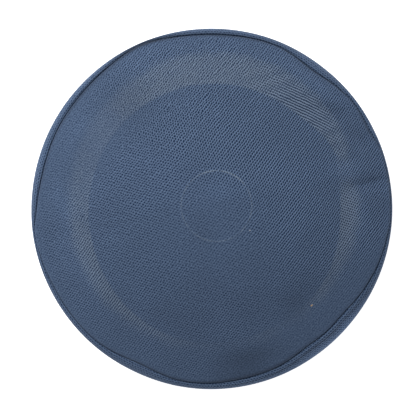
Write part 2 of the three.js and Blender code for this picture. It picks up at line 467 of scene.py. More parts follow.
class KufiColours(bpy.types.PropertyGroup):
    """Colours of the cloth, the thread and the floor."""

    # The pits are the cloth's own blue darkened with painted shade between the yarns
    pit: ColourProperty(
        name="Pit",
        description="Colour down between the yarns",
        default=(0.001, 0.013, 0.046),
    )
    # The yarns' tops are their own blue lightened with a painted sheen
    yarn: ColourProperty(
        name="Yarn",
        description="Colour on top of the yarns",
        default=(0.121, 0.179, 0.289),
    )
    shine: ColourProperty(
        name="Shine",
        description="Light that the pressed yarns add to their colour",
        default=(0.039, 0.039, 0.025),
    )
    # Painted highlight along the small circle's low ridge, strongest on its arc towards the back
    circle_highlight: ColourProperty(
        name="Chalk",
        description="Light that the rubbed line of the small circle adds to the yarns' colour",
        default=(0.075, 0.085, 0.085),
    )
    thread: ColourProperty(
        name="Thread",
        description="Colour of the sewing thread",
        default=(0.050, 0.075, 0.130),
    )
    floor: ColourProperty(
        name="Floor",
        description="Colour of the floor",
        default=(0.92, 0.92, 0.92),
    )


def bell(offset, spread):
    return np.exp(-((offset / spread) ** 2))


def turn_between(start, end):
    """Degrees from one direction round to another, between -180 and 180."""
    return (end - start + 180) % 360 - 180


def smooth_step(value, low, high):
    share = np.clip((value - low) / (high - low), 0, 1)
    return share * share * (3 - 2 * share)


def dent_depth(dent, x, y):
    tilt = math.radians(dent.tilt)
    dx = x - dent.x * MM
    dy = y - dent.y * MM
    along = dx * math.cos(tilt) + dy * math.sin(tilt)
    across = dy * math.cos(tilt) - dx * math.sin(tilt)
    return dent.depth * MM * bell(along, dent.along * MM) * bell(across, dent.across * MM)


def ripple_waves():
    """Every wave of the cloth's unevenness, as its way, phase and height."""
    random = np.random.default_rng(RIPPLE_SEED)
    waves = []
    for ripple in RIPPLES:
        for _ in range(ripple.waves):
            way = random.uniform(0, TURN)
            length = ripple.length * random.uniform(0.75, 1.35)
            phase = random.uniform(0, TURN)
            waves.append((way, TURN / length, phase, ripple.height))
    return waves


class CapForm:
    """The cap's surfaces as functions of the angle round it, in degrees; all sizes in metres."""

    def __init__(self, sizes):
        self.sizes = sizes
        self.wall_top = sizes.seam_height - sizes.least_shoulder
        self.dome_radius = sizes.outer_radius - sizes.least_shoulder
        self.waves = ripple_waves()

    def seam_inset(self, angle):
        """How far the seam lies inside the cap's outline."""
        inset = EVEN_INSET
        for pucker in PUCKERS:
            inset = inset + pucker.pull * bell(turn_between(pucker.at, angle), pucker.spread)
        return np.maximum(inset, LEAST_INSET)

    def shoulder_round(self, angle):
        return self.sizes.least_shoulder + SHOULDER_PER_INSET * self.seam_inset(angle)

    def ripples(self, x, y):
        height = np.zeros_like(x)
        for way, rate, phase, size in self.waves:
            height += size * np.cos((x * math.cos(way) + y * math.sin(way)) * rate + phase)
        return height

    def crown_height(self, x, y):
        """Height of the crown's face over a point: its dome, the pressed marks and the dents."""
        share = np.minimum(np.hypot(x, y) / self.dome_radius, 1)
        rise = self.sizes.cap_height - self.sizes.seam_height
        height = self.sizes.seam_height + rise * (1 - share**2) ** DOME_EDGE
        from_circle = np.hypot(x - SMALL_CIRCLE.x, y - SMALL_CIRCLE.y) - SMALL_CIRCLE.radius
        from_press = np.hypot(x - PRESSED_RING.x, y - PRESSED_RING.y) - PRESSED_RING.radius
        height += CIRCLE_RIDGE * bell(from_circle, CIRCLE_WIDTH)
        outside = smooth_step(from_press, -PRESS_SOFTNESS, PRESS_SOFTNESS)
        height -= PRESS_STEP * outside * (1 - share)
        for dent in DENTS + FINE_DENTS:
            height -= dent_depth(dent, x, y)
        return height + self.ripples(x, y) * (1 - share**4)

    def wall_radius(self, z, angle):
        """Radius of the band's outside under its shoulder."""
        rise = np.minimum(z / self.wall_top, 1)
        lean = (self.sizes.outer_radius - self.sizes.rim_radius) * np.sin(rise * math.pi / 2)
        bow = 0
        for wall_bow in WALL_BOWS:
            bow = bow + wall_bow.out * bell(turn_between(wall_bow.at, angle), wall_bow.spread)
        return self.sizes.rim_radius + lean + bow * np.sin(rise * math.pi)

    def outline(self, travel, angle):
        """A point on the cap's outline at a travel over the cloth from the top of the straight
        wall, and which way is out there: radius, height, and the two parts of that way."""
        round_radius = self.shoulder_round(angle)
        quarter = round_radius * math.pi / 2
        up = np.clip(travel, 0, quarter) / round_radius
        out_r = np.cos(up)
        out_z = np.sin(up)
        flat = np.maximum(travel - quarter, 0)
        r = self.sizes.outer_radius - round_radius * (1 - out_r) - flat
        turn = np.radians(angle)
        top = self.crown_height(r * np.cos(turn), r * np.sin(turn))
        z = top - round_radius * (1 - out_z)
        under = travel < 0
        wall_z = self.sizes.seam_height - round_radius + travel
        r = np.where(under, self.wall_radius(wall_z, angle), r)
        z = np.where(under, wall_z, z)
        return r, z, out_r, out_z

    def seam_travel(self, angle):
        inset = self.seam_inset(angle)
        round_radius = self.shoulder_round(angle)
        on_round = np.minimum(inset / round_radius, 1)
        return round_radius * np.arccos(1 - on_round) + np.maximum(inset - round_radius, 0)

    def rolled(self, travel, from_seam, angle):
        """The cloth's surface near the seam, rolled down into the groove."""
        r, z, out_r, out_z = self.outline(travel, angle)
        share = min(from_seam / GROOVE_ROLL, 1)
        dip = GROOVE_DEPTH * (1 - math.sqrt(1 - (1 - share) ** 2))
        return r - dip * out_r, z - dip * out_z

    def seam_plane(self, angle):
        """What parts the two cloths in the seam: the bottom of the groove, the way across it, the
        radius where it hangs straight, and the heights of its corner and its end."""
        r, z, out_r, out_z = self.outline(self.seam_travel(angle), angle)
        bottom_r = r - GROOVE_DEPTH * out_r
        bottom_z = z - GROOVE_DEPTH * out_z
        length = np.hypot(1 + out_z, out_r)
        half = self.sizes.seam_gap / 2
        across_r = (1 + out_z) / length * half
        across_z = -out_r / length * half
        end = self.sizes.seam_height - SEAM_ALLOWANCE
        straight = np.minimum(bottom_r, self.wall_radius(end, angle) - self.sizes.cloth - half)
        corner = bottom_z - LIP_UNDER
        return bottom_r, bottom_z, across_r, across_z, straight, corner, end


def ring(r, z, angle):
    """Points at a radius and a height at every angle."""
    turn = np.radians(angle)
    z = z + np.zeros_like(turn)
    return np.stack([r * np.cos(turn), r * np.sin(turn), z], axis=1)


def lattice_points(along, across, radius):
    """The points of a lattice with these two steps that lie within a radius, x and y."""
    reach = int(radius / min(np.hypot(*along), np.hypot(*across))) * 2
    i, j = np.mgrid[-reach : reach + 1, -reach : reach + 1]
    points = i.reshape(-1, 1) * along + j.reshape(-1, 1) * across
    return points[np.hypot(points[:, 0], points[:, 1]) < radius]


def fill_disc(border, inner):
    """Triangles over the points of a round border and the points inside it, seen from above."""
    flat = [Vector(point) for point in np.concatenate([border, inner])]
    _, _, faces, origins, _, _ = delaunay_2d_cdt(flat, [], [], 0, 1e-7, True)
    return [[origins[corner][0] for corner in face] for face in faces]


def ring_faces(first, rows, count, closed=False):
    """Four-sided faces between rows of vertices, each row a whole turn, from vertex first on."""
    row = np.arange(rows if closed else rows - 1).reshape(-1, 1)
    column = np.arange(count).reshape(1, -1)
    after = (column + 1) % count
    below = (row + 1) % rows
    corners = [row * count + column, below * count + column, below * count + after, row * count + after]
    return (np.stack(corners, axis=-1).reshape(-1, 4) + first).tolist()


def arc_lengths(rows):
    """Distance over the rows of points from the first row, for each column."""
    steps = np.linalg.norm(np.diff(rows, axis=0), axis=2)
    return np.concatenate([np.zeros((1, rows.shape[1])), np.cumsum(steps, axis=0)])


def make_object(name, vertices, faces):
    """A smooth mesh object at the origin."""
    mesh = bpy.data.meshes.new(name)
    mesh.from_pydata(vertices.tolist(), [], faces)
    mesh.shade_smooth()
    mesh.validate()
    piece = bpy.data.objects.new(name, mesh)
    bpy.context.collection.objects.link(piece)
    return piece


def write_cloth_map(piece, corner_places):
    """Stores where each face corner lies on the flat cloth, as a UV map within 0 to 1."""
    layer = piece.data.uv_layers.new(name="cloth")
    places = corner_places / CLOTH_MAP_SPAN + 0.5
    layer.data.foreach_set("uv", places.astype(np.float32).ravel())


def write_seam_distance(piece, distance):
    """Stores how far over the cloth each vertex lies from the seam, in millimetres."""
    layer = piece.data.attributes.new("seam_distance", "FLOAT", "POINT")
    layer.data.foreach_set("value", (distance / MM).astype(np.float32).ravel())


def corner_vertices(piece):
    index = np.zeros(len(piece.data.loops), dtype=np.int32)
    piece.data.loops.foreach_get("vertex_index", index)
    return index


def crown_rows(form, angle):
    """The crown's rings from the border of its flat field out over the edge, down its seam
    allowance and back under the face."""
    sizes = form.sizes
    travel = form.seam_travel(angle)
    plane = form.seam_plane(angle)
    bottom_r, bottom_z, across_r, across_z, straight, corner, end = plane
    lip_r, _ = form.rolled(travel + LIP_STEPS[-1], LIP_STEPS[-1], angle)
    turn = np.radians(angle)
    rows = []
    for step in range(EDGE_RINGS):
        r = FIELD_RADIUS + (lip_r - FIELD_RADIUS) * step / EDGE_RINGS
        rows.append((r, form.crown_height(r * np.cos(turn), r * np.sin(turn))))
    for step in reversed(LIP_STEPS):
        rows.append(form.rolled(travel + step, step, angle))
    face = straight - sizes.seam_gap / 2
    inside = face - sizes.cloth
    under = sizes.seam_height - sizes.cloth
    rows += [
        (bottom_r - across_r, bottom_z - across_z),
        (face, corner),
        (face, (corner + end) / 2),
        (face, end + ALLOWANCE_ROUND),
        (face - ALLOWANCE_ROUND, end),
        (inside + ALLOWANCE_ROUND, end),
        (inside, end + ALLOWANCE_ROUND),
        (inside, under - sizes.cloth - CORNER_DROP),
        (inside - CROWN_CORNER, under),
    ]
    for radius in UNDERSIDE_RADII:
        height = form.crown_height(radius * np.cos(turn), radius * np.sin(turn))
        rows.append((radius, height - sizes.cloth))
    return np.stack([ring(r, z, angle) for r, z in rows])


def crown_mesh(form):
    """The crown: a finely meshed field that lies with the grain, and rings round it."""
    angle = np.arange(ROUND_STEPS) * 360 / ROUND_STEPS
    rows = crown_rows(form, angle)
    count = rows.shape[0]
    grain = math.radians(GRAIN_TURN)
    along = np.array([math.cos(grain), math.sin(grain)])
    across = np.array([-math.sin(grain), math.cos(grain)])
    diagonal = (along * CELL_LENGTH + across * CELL_WIDTH) / FIELD_DIAGONAL * MM
    down = across * CELL_WIDTH / FIELD_ACROSS * MM
    field = lattice_points(diagonal, down, FIELD_RADIUS - FIELD_GAP)
    side = np.array([UNDERSIDE_SPACING, 0])
    slant = np.array([UNDERSIDE_SPACING / 2, UNDERSIDE_SPACING * math.sqrt(3) / 2])
    below = lattice_points(side, slant, UNDERSIDE_RADII[-1] - UNDERSIDE_SPACING / 2)
    field_z = form.crown_height(field[:, 0], field[:, 1])
    below_z = form.crown_height(below[:, 0], below[:, 1]) - form.sizes.cloth
    vertices = np.concatenate(
        [
            rows.reshape(-1, 3),
            np.column_stack([field, field_z]),
            np.column_stack([below, below_z]),
        ]
    )
    faces = ring_faces(0, count, ROUND_STEPS)
    field_start = count * ROUND_STEPS
    below_start = field_start + len(field)
    inner_ring = (count - 1) * ROUND_STEPS
    faces += disc_faces(rows[0], field, 0, field_start)
    faces += [face[::-1] for face in disc_faces(rows[-1], below, inner_ring, below_start)]
    piece = make_object("crown", vertices, faces)
    flat = arc_lengths(rows) + FIELD_RADIUS
    from_seam = np.abs(flat - flat[EDGE_RINGS + len(LIP_STEPS)])
    far = np.full(len(field) + len(below), FAR_FROM_SEAM)
    write_seam_distance(piece, np.concatenate([from_seam.ravel(), far]))
    under = slice(count - 1 - len(UNDERSIDE_RADII), None)
    flat[under] = np.hypot(rows[under, :, 0], rows[under, :, 1])
    turn = np.radians(angle)
    places = np.stack([flat * np.cos(turn), flat * np.sin(turn)], axis=2).reshape(-1, 2)
    places = drawn_together(np.concatenate([places, field, below]))
    write_cloth_map(piece, places[corner_vertices(piece)])
    return piece


def drawn_together(places):
    """Places on the crown as they lay on the flat cloth, before it was eased into a dome."""
    reach = np.minimum(np.linalg.norm(places, axis=1), FIELD_RADIUS) / DRAWN_RADIUS
    shares = np.array([DRAWN_X, DRAWN_Y])
    return places * (1 + shares * reach.reshape(-1, 1) ** 2)


def disc_faces(border, inner, border_start, inner_start):
    """The triangles of a filled disc, numbered as in the whole mesh."""
    border_numbers = np.arange(len(border)) + border_start
    inner_numbers = np.arange(len(inner)) + inner_start
    numbers = np.concatenate([border_numbers, inner_numbers])
    return numbers[np.array(fill_disc(border[:, :2], inner))].tolist()


def band_angles():
    """Angles round the band from its closing seam, closer together at the two folded ends."""
    even = np.arange(ROUND_STEPS) * 360 / ROUND_STEPS
    fine = np.arange(-FINE_REACH, FINE_REACH + 0.01, FINE_STEP)
    ends = np.concatenate([fine, fine + 180])
    from_ends = np.min(np.abs(turn_between(even[:, None], np.array([[0, 180]]))), axis=1)
    far = from_ends > FINE_REACH + 0.1
    return np.sort(np.concatenate([even[far], ends % 360])) + FOLD_TURN


def wall_marks(form, z, angle):
    """How far the band's face stands out: folded ridges, the closing seam, the pull of the hem
    stitches and slow unevenness."""
    sizes = form.sizes
    height = np.clip(z / form.wall_top, 0, 1)
    fade = np.sin(height * math.pi) ** 0.5
    ridge = 0
    for end in FOLD_ENDS:
        ridge = ridge + FOLD_RIDGE * bell(turn_between(end, angle), FOLD_SPREAD)
    stitches = STITCH_PULL * bell(z - sizes.stitch_height, PULL_WIDTH)
    turn = np.radians(angle)
    spread = turn * sizes.rim_radius
    uneven = form.ripples(spread, z + 0 * spread) * BAND_UNEVENNESS
    return fade * (ridge + uneven * np.sin(turn / 2 - math.radians(FOLD_TURN) / 2) ** 2) - stitches


def closing_seam(angle):
    """Depth of the groove where the band's two ends meet."""
    return CLOSING_DEPTH * bell(turn_between(FOLD_TURN, angle), CLOSING_SPREAD)


def band_rows(form, angle):
    """The band's rings from the bottom of the seam over the shoulder, down the outside, under the
    rim and up the inside."""
    sizes = form.sizes
    travel = form.seam_travel(angle)
    bottom_r, bottom_z, across_r, across_z, straight, corner, _ = form.seam_plane(angle)
    rows = [(bottom_r + across_r, bottom_z + across_z)]
    for step in LIP_STEPS[:BAND_LIP_RINGS]:
        rows.append(form.rolled(travel - step, step, angle))
    lip = travel - LIP_STEPS[BAND_LIP_RINGS - 1]
    for step in range(1, SHOULDER_RINGS + 1):
        along = lip + (-UNDER_SHOULDER - lip) * step / SHOULDER_RINGS
        rows.append(form.rolled(along, GROOVE_ROLL, angle))
    top = sizes.seam_height - form.shoulder_round(angle) - UNDER_SHOULDER
    seam = closing_seam(angle)
    for step in range(1, WALL_RINGS + 1):
        z = top + (RIM_ROUND - top) * step / WALL_RINGS
        rows.append((form.wall_radius(z, angle) + wall_marks(form, z, angle) - seam, z))
    outside = len(rows) - 1
    foot = form.wall_radius(0 * angle, angle)
    for turn in (30, 60, 90):
        away = math.radians(turn)
        r = foot - RIM_ROUND * (1 - math.cos(away)) - seam
        rows.append((r, RIM_ROUND * (1 - math.sin(away))))
    inner = sizes.cloth + sizes.hem_fold
    for turn in (90, 60, 30, 0):
        away = math.radians(turn)
        r = foot - inner + RIM_ROUND * (1 - math.cos(away))
        rows.append((r, RIM_ROUND * (1 - math.sin(away))))
    hem = sizes.hem_height
    for z in (*HEM_RINGS, hem - HEM_EDGE):
        pull = INSIDE_PULL * bell(z - sizes.stitch_height, PULL_WIDTH)
        rows.append((form.wall_radius(z, angle) - inner + pull, z))
    hem_radius = form.wall_radius(hem, angle)
    rows += [
        (hem_radius - inner + HEM_LEAN, hem - HEM_ROUND),
        (hem_radius - sizes.cloth - HEM_ROUND, hem),
        (hem_radius - sizes.cloth, hem + HEM_STEP),
    ]
    for z in INSIDE_RINGS:
        rows.append((form.wall_radius(z, angle) - sizes.cloth, z))
    inside_corner = sizes.seam_height - form.shoulder_round(angle) + CORNER_RISE
    inside_corner = np.minimum(inside_corner, corner - CORNER_DROP)
    rows.append((form.wall_radius(inside_corner, angle) - sizes.cloth, inside_corner))
    rows.append((straight + sizes.seam_gap / 2, corner))
    return np.stack([ring(r, z, angle) for r, z in rows]), outside


def band_mesh(form):
    """The side band, one closed shell from its seam down to the hem and back."""
    angle = band_angles()
    rows, outside = band_rows(form, angle)
    count, columns = rows.shape[:2]
    faces = ring_faces(0, count, columns, closed=True)
    piece = make_object("band", rows.reshape(-1, 3), faces)
    up = arc_lengths(np.concatenate([rows, rows[:1]]))
    write_seam_distance(piece, np.minimum(up, up[-1] - up)[:-1])
    up = up[outside] - up
    up = np.concatenate([up, up[:, :1]], axis=1)
    round_way = np.radians(np.append(angle, angle[0] + 360) - FOLD_TURN) * form.sizes.rim_radius
    round_way = round_way - math.pi * form.sizes.rim_radius + 0 * up
    corners = corner_vertices(piece).reshape(-1, 4)
    row = corners // columns
    column = corners % columns
    row = np.where((row == 0) & (row.max(axis=1, keepdims=True) == count - 1), count, row)
    column = np.where((column == 0) & (column.max(axis=1, keepdims=True) == columns - 1), columns, column)
    places = np.stack([round_way[row, column], up[row, column]], axis=-1).reshape(-1, 2)
    write_cloth_map(piece, places)
    return piece


class Nodes:
    """Short ways of adding nodes to a tree; each returns the new node's output."""

    def __init__(self, tree):
        self.tree = tree
        self.tree.nodes.clear()

    def add(self, kind, settings=None, inputs=None):
        node = self.tree.nodes.new(kind)
        for name, value in (settings or {}).items():
            setattr(node, name, value)
        for name, value in (inputs or {}).items():
            self.plug(node.inputs[name], value)
        return node

    def plug(self, socket, value):
        if isinstance(value, bpy.types.NodeSocket):
            self.tree.links.new(value, socket)
        else:
            socket.default_value = value

    def math(self, operation, *values):
        node = self.add("ShaderNodeMath", {"operation": operation})
        for socket, value in zip(node.inputs, values):
            self.plug(socket, value)
        return node.outputs[0]

    def times(self, *factors):
        """The product of these values."""
        product = factors[0]
        for factor in factors[1:]:
            product = self.math("MULTIPLY", product, factor)
        return product

    def vector(self, operation, *values, out="Vector"):
        node = self.add("ShaderNodeVectorMath", {"operation": operation})
        for socket, value in zip(node.inputs, values):
            self.plug(socket, value)
        return node.outputs[out]

    def part(self, vector, axis):
        """One part of a vector: its X, Y or Z."""
        return self.add("ShaderNodeSeparateXYZ", None, {"Vector": vector}).outputs[axis]

    def noise(self, place, scale, detail=2.0, out="Fac"):
        inputs = {"Vector": place, "Scale": scale, "Detail": detail}
        return self.add("ShaderNodeTexNoise", None, inputs).outputs[out]

    def ramp(self, value, low, high, start=0.0, end=1.0, smooth=True):
        kind = "SMOOTHSTEP" if smooth else "LINEAR"
        inputs = {"Value": value, "From Min": low, "From Max": high, "To Min": start, "To Max": end}
        return self.add("ShaderNodeMapRange", {"interpolation_type": kind}, inputs).outputs[0]

    def mix(self, share, first, second, blend="MIX"):
        node = self.add("ShaderNodeMix", {"data_type": "RGBA", "blend_type": blend})
        self.plug(node.inputs[0], share)
        self.plug(node.inputs[6], first)
        self.plug(node.inputs[7], second)
        return node.outputs[2]

    def bump(self, height, strength, distance):
        inputs = {"Strength": strength, "Distance": distance, "Height": height}
        return self.add("ShaderNodeBump", None, inputs).outputs[0]

    def surface(self, inputs):
        """Ends the tree in a surface shader with these inputs."""
        shader = self.add("ShaderNodeBsdfPrincipled", None, inputs)
        self.add("ShaderNodeOutputMaterial", None, {"Surface": shader.outputs[0]})


def new_material(name):
    material = bpy.data.materials.new(name)
    material.use_nodes = True
    return material, Nodes(material.node_tree)


def cloth_place(nodes):
    """The place on the flat cloth in millimetres, from the piece's own map."""
    uv = nodes.add("ShaderNodeUVMap", {"uv_map": "cloth"}).outputs[0]
    span = CLOTH_MAP_SPAN / MM
    inputs = {"Vector": uv, "Location": (-span / 2, -span / 2, 0), "Scale": (span, span, 1)}
    return nodes.add("ShaderNodeMapping", None, inputs).outputs[0]


def weave_wave(nodes, place, along, across, grain):
    """One family of the weave's rows: a wave with this many turns along and across a cell."""
    x = along / CELL_LENGTH
    y = across / CELL_WIDTH
    way = (
        x * math.cos(grain) - y * math.sin(grain),
        x * math.sin(grain) + y * math.cos(grain),
        0,
    )
    turns = nodes.vector("DOT_PRODUCT", place, way, out="Value")
    return nodes.math("COSINE", nodes.times(turns, TURN))


def shifted(nodes, place, length, reach, into):
    """A place moved about by up to half of reach, in waves of this length."""
    wander = nodes.noise(place, 1 / length, 1.0, out="Color")
    wander = nodes.vector("SUBTRACT", wander, (0.5, 0.5, 0.5))
    scale = nodes.add("ShaderNodeVectorMath", {"operation": "SCALE"}, {"Vector": wander, "Scale": reach})
    return nodes.vector("MULTIPLY_ADD", scale.outputs[0], (1, 1, 0), into)


def weave_height(nodes, place, grain, strengths, clear, uneven):
    """The weave's relief: low in its pits, high on its yarns, uneven as woven cloth is. The
    strengths are those of its families, and clear is that of them all. Uneven is how far its
    yarns stray, in millimetres."""
    bent = shifted(nodes, place, WANDER_LENGTH, WANDER_REACH, place)
    bent = shifted(nodes, place, STRAY_LENGTH, uneven, bent)
    total = 0.0
    for strength, (along, across) in zip(strengths, WEAVE_FAMILIES):
        wave = weave_wave(nodes, bent, along, across, grain)
        total = nodes.math("SUBTRACT", total, nodes.times(strength, wave))
    total = nodes.times(total, clear)
    for noise in YARN_NOISES:
        bumps = nodes.noise(place, noise.scale, noise.detail)
        total = nodes.math("MULTIPLY_ADD", bumps, noise.height, total)
    return total


def weave_share(nodes, relief):
    """How much of the yarn's colour shows at a height of the weave, from 0 in a pit to 1. The pits
    hold painted shade, and the yarns' tops a painted sheen.
    """
    return nodes.ramp(relief, PIT_TOP, YARN_TOP, smooth=False)


def from_seam(nodes):
    """Millimetres over the cloth from the seam, from the piece's own attribute."""
    return nodes.add("ShaderNodeAttribute", {"attribute_name": "seam_distance"}).outputs["Fac"]


def seam_fade(nodes, turn):
    """How clear the weave is: it is rubbed flat beside the seam, further in at the back."""
    reach = turn_bells(nodes, turn, RUBBED_REACH, RUBBED_REACHES)
    return nodes.ramp(from_seam(nodes), RUBBED_START, reach, RUBBED_CLEAR, 1.0)


def weave_colour(nodes, share, colours, turn, reaches, strips):
    """The cloth's colour from that share, with painted shade in the seam's groove and painted shade
    and light in strips along it. Turn is where round the cap a place is, in degrees."""
    colour = nodes.mix(share, (*colours.pit, 1), (*colours.yarn, 1))
    # Painted shade down in the seam's groove, fading out over its reach
    tone = turn_bells(nodes, turn, GROOVE_SHADE_TONE, GROOVE_SHADE_TONES)
    reach = turn_bells(nodes, turn, GROOVE_SHADE_REACH, reaches)
    tone = nodes.ramp(from_seam(nodes), 0.0, reach, tone, 1.0)
    # Strips of painted shade along the seam, and of painted light where a strength is negative
    for strip in strips:
        away = nodes.math("ABSOLUTE", nodes.math("SUBTRACT", from_seam(nodes), strip.place))
        shade = nodes.ramp(away, strip.inner, strip.outer, 1.0, 0.0)
        shade = nodes.times(shade, turn_bells(nodes, turn, 0.0, strip.turns))
        tone = nodes.times(tone, nodes.math("SUBTRACT", 1.0, shade))
    return nodes.mix(1.0, colour, tone, "MULTIPLY")


def cloth_shader(nodes, colour, relief, roughness):
    """The finish of the cloth, with its weave's relief as bump."""
    inputs = {
        "Base Color": colour,
        "Roughness": roughness,
        "Specular IOR Level": 0.15,
        "Sheen Weight": 0.04,
        "Sheen Roughness": 0.5,
        "Normal": nodes.bump(relief, 1.0, 0.08 * MM),
    }
    nodes.surface(inputs)


def mark_middle(mark):
    """A pressed mark's middle on the flat cloth, in millimetres."""
    return (mark.x / MM, mark.y / MM, 0)


def from_mark(nodes, place, mark):
    """Millimetres from a pressed mark's middle."""
    return nodes.vector("DISTANCE", place, mark_middle(mark), out="Value")


def turn_bells(nodes, turn, base, glints):
    """A strength that swells at some directions round a mark; turn is in degrees."""
    total = base
    for glint in glints:
        away = nodes.math("SUBTRACT", turn, float(glint.at))
        away = nodes.math("DIVIDE", nodes.math("WRAP", away, 180.0, -180.0), float(glint.spread))
        swell = nodes.math("EXPONENT", nodes.times(nodes.math("POWER", away, 2.0), -1.0))
        total = nodes.math("MULTIPLY_ADD", swell, float(glint.strength), total)
    return total


def painted_patches_change(nodes, place):
    """How much painted light brightens the crown's cloth at a place; negative is painted shade."""
    total = 0.0
    for patch in PAINTED_PATCHES:
        inputs = {
            "Vector": place,
            "Location": (patch.x, patch.y, 0),
            "Rotation": (0, 0, math.radians(patch.tilt)),
            "Scale": (patch.along, patch.across, 1),
        }
        away = nodes.add("ShaderNodeMapping", {"vector_type": "TEXTURE"}, inputs).outputs[0]
        square = nodes.vector("DOT_PRODUCT", away, away, out="Value")
        swell = nodes.math("EXPONENT", nodes.times(square, -1.0))
        total = nodes.math("MULTIPLY_ADD", swell, float(patch.change), total)
    return total


def along_way(nodes, place, change):
    """A value that changes across the crown as this change says."""
    distance = nodes.vector("DOT_PRODUCT", place, (*change.way, 0), out="Value")
    return nodes.ramp(distance, *change.reach, *change.values)


def turn_round(nodes, place, mark):
    """The direction of a place round a pressed mark's middle, in degrees."""
    way = nodes.vector("SUBTRACT", place, mark_middle(mark))
    turn = nodes.math("ARCTAN2", nodes.part(way, "Y"), nodes.part(way, "X"))
    return nodes.times(turn, 360 / TURN)


def top_share(nodes):
    """1 on the crown's upper face, and 0 on its sides and its underside."""
    normal = nodes.add("ShaderNodeNewGeometry").outputs["Normal"]
    return nodes.ramp(nodes.part(normal, "Z"), 0.0, 0.2)


def ring_share(nodes, place, turn, blotches):
    """How much the cloth is pressed by the ring, between its worn inner edge and its ragged
    outside."""
    wear = turn_bells(nodes, turn, 0.0, RING_WEAR)
    inner = nodes.math("SUBTRACT", from_mark(nodes, place, PRESSED_RING), wear)
    edge = PRESSED_RING.radius / MM
    inner = nodes.ramp(inner, edge + RING_START, edge + RING_FULL)
    outer = nodes.math("MULTIPLY_ADD", blotches, RING_RAGGED, from_mark(nodes, place, RING_OUTSIDE))
    edge = RING_OUTSIDE.radius / MM
    outer = nodes.ramp(outer, edge, edge + RING_LOSS, 1.0, 0.0)
    return nodes.times(inner, outer)


def crown_strengths(nodes, place, turn, pressed, blotches):
    """How strongly each family of the weave's rows shows on the crown. Where the rows are pressed
    wider apart, only a share of the other families is left."""
    streaks = nodes.times(along_way(nodes, place, STREAKS), nodes.ramp(blotches, 0.3, 0.7, 0.8, 1.2))
    rows = along_way(nodes, place, ROWS)
    columns = along_way(nodes, place, COLUMNS)
    wide = nodes.times(pressed, turn_bells(nodes, turn, 0.0, WIDE_ROWS))
    strengths = []
    for strength, glints, left in (
        (streaks, STREAK_GLINTS, 0.3),
        (rows, ROW_GLINTS, 0.1),
        (columns, COLUMN_GLINTS, 0.4),
    ):
        in_ring = nodes.times(pressed, turn_bells(nodes, turn, 0.0, glints))
        whole = nodes.math("MAXIMUM", nodes.math("ADD", strength, in_ring), 0.0)
        strengths.append(nodes.times(whole, nodes.ramp(wide, 0.0, 1.0, 1.0, left)))
    strengths.append(nodes.times(wide, 1.5))
    return strengths


def crown_clearness(nodes, place, turn):
    """How clear the crown's weave is: less so round its worn place, beside the seam, towards the
    front right and where it is pressed away."""
    from_worn = nodes.vector("DISTANCE", place, WORN_PLACE, out="Value")
    clear = nodes.ramp(from_worn, 0.0, 45.0, 0.55, 1.0)
    away = nodes.times(nodes.ramp(from_worn, 60.0, 76.0), turn_bells(nodes, turn, 0.0, PRESSED_AWAY))
    left = nodes.math("ADD", away, 1.0)
    return nodes.times(clear, seam_fade(nodes, turn), along_way(nodes, place, FAINT_FRONT), left)


def ring_shine(nodes, share, pressed, turn, blotches):
    """How much the pressed yarns shine, most on their tops."""
    bright = turn_bells(nodes, turn, RING_SHINE, RING_GLINTS)
    tops = nodes.math("MULTIPLY_ADD", nodes.math("POWER", share, 3.5), 5.5, 0.1)
    return nodes.times(nodes.ramp(blotches, 0.3, 0.7, 0.6, 1.4), bright, tops, pressed)


def circle_line(nodes, place):
    """How bright the painted highlight along the small circle's low ridge is."""
    away = nodes.math("SUBTRACT", from_mark(nodes, place, SMALL_CIRCLE), SMALL_CIRCLE.radius / MM)
    line = nodes.ramp(nodes.math("ABSOLUTE", away), 0.1, 0.5, 1.0, 0.0)
    arc = turn_bells(nodes, turn_round(nodes, place, SMALL_CIRCLE), CIRCLE_SHINE, CIRCLE_GLINTS)
    broken = nodes.ramp(nodes.noise(place, 1 / 3, 2.0), 0.35, 0.6, 0.3, 1.2)
    return nodes.times(arc, broken, line)


def crown_cloth(colours):
    material, nodes = new_material("crown_cloth")
    place = cloth_place(nodes)
    blotches = nodes.noise(place, 1 / BLOTCH_LENGTH, 2.0)
    small_blotches = nodes.noise(place, 1 / SMALL_BLOTCH_LENGTH, 3.0)
    on_top = top_share(nodes)
    turn = turn_round(nodes, place, PRESSED_RING)
    pressed = nodes.times(ring_share(nodes, place, turn, small_blotches), on_top)
    strengths = crown_strengths(nodes, place, turn, pressed, blotches)
    clear = crown_clearness(nodes, place, turn)
    uneven = along_way(nodes, place, STRAYING)
    relief = weave_height(nodes, place, math.radians(GRAIN_TURN), strengths, clear, uneven)

    share = weave_share(nodes, relief)
    colour = weave_colour(nodes, share, colours, turn, CROWN_SHADE_REACHES, CROWN_STRIPS)
    # Painted light and shade from the patches, on the top face only, times random blotches of tone
    painted_patches = nodes.math("MULTIPLY_ADD", painted_patches_change(nodes, place), on_top, 1.0)
    tone = nodes.times(nodes.ramp(blotches, 0.25, 0.75, 0.95, 1.05), painted_patches)
    colour = nodes.mix(1.0, colour, tone, "MULTIPLY")
    shine = ring_shine(nodes, share, pressed, turn, small_blotches)
    colour = nodes.mix(shine, colour, (*colours.shine, 1), "ADD")
    # Painted highlight along the small circle's low ridge
    line = nodes.times(circle_line(nodes, place), on_top)
    colour = nodes.mix(line, colour, (*colours.circle_highlight, 1), "ADD")
    for speck in LINT:
        away = nodes.vector("DISTANCE", place, (speck.x, speck.y, 0), out="Value")
        seen = nodes.ramp(away, speck.radius * 0.5, speck.radius * 1.5, 1.0, 0.0)
        colour = nodes.mix(nodes.times(seen, on_top), colour, (*speck.colour, 1))
    roughness = nodes.ramp(pressed, 0.0, 1.0, LOOSE_ROUGHNESS, PRESSED_ROUGHNESS)
    cloth_shader(nodes, colour, relief, roughness)
    return material


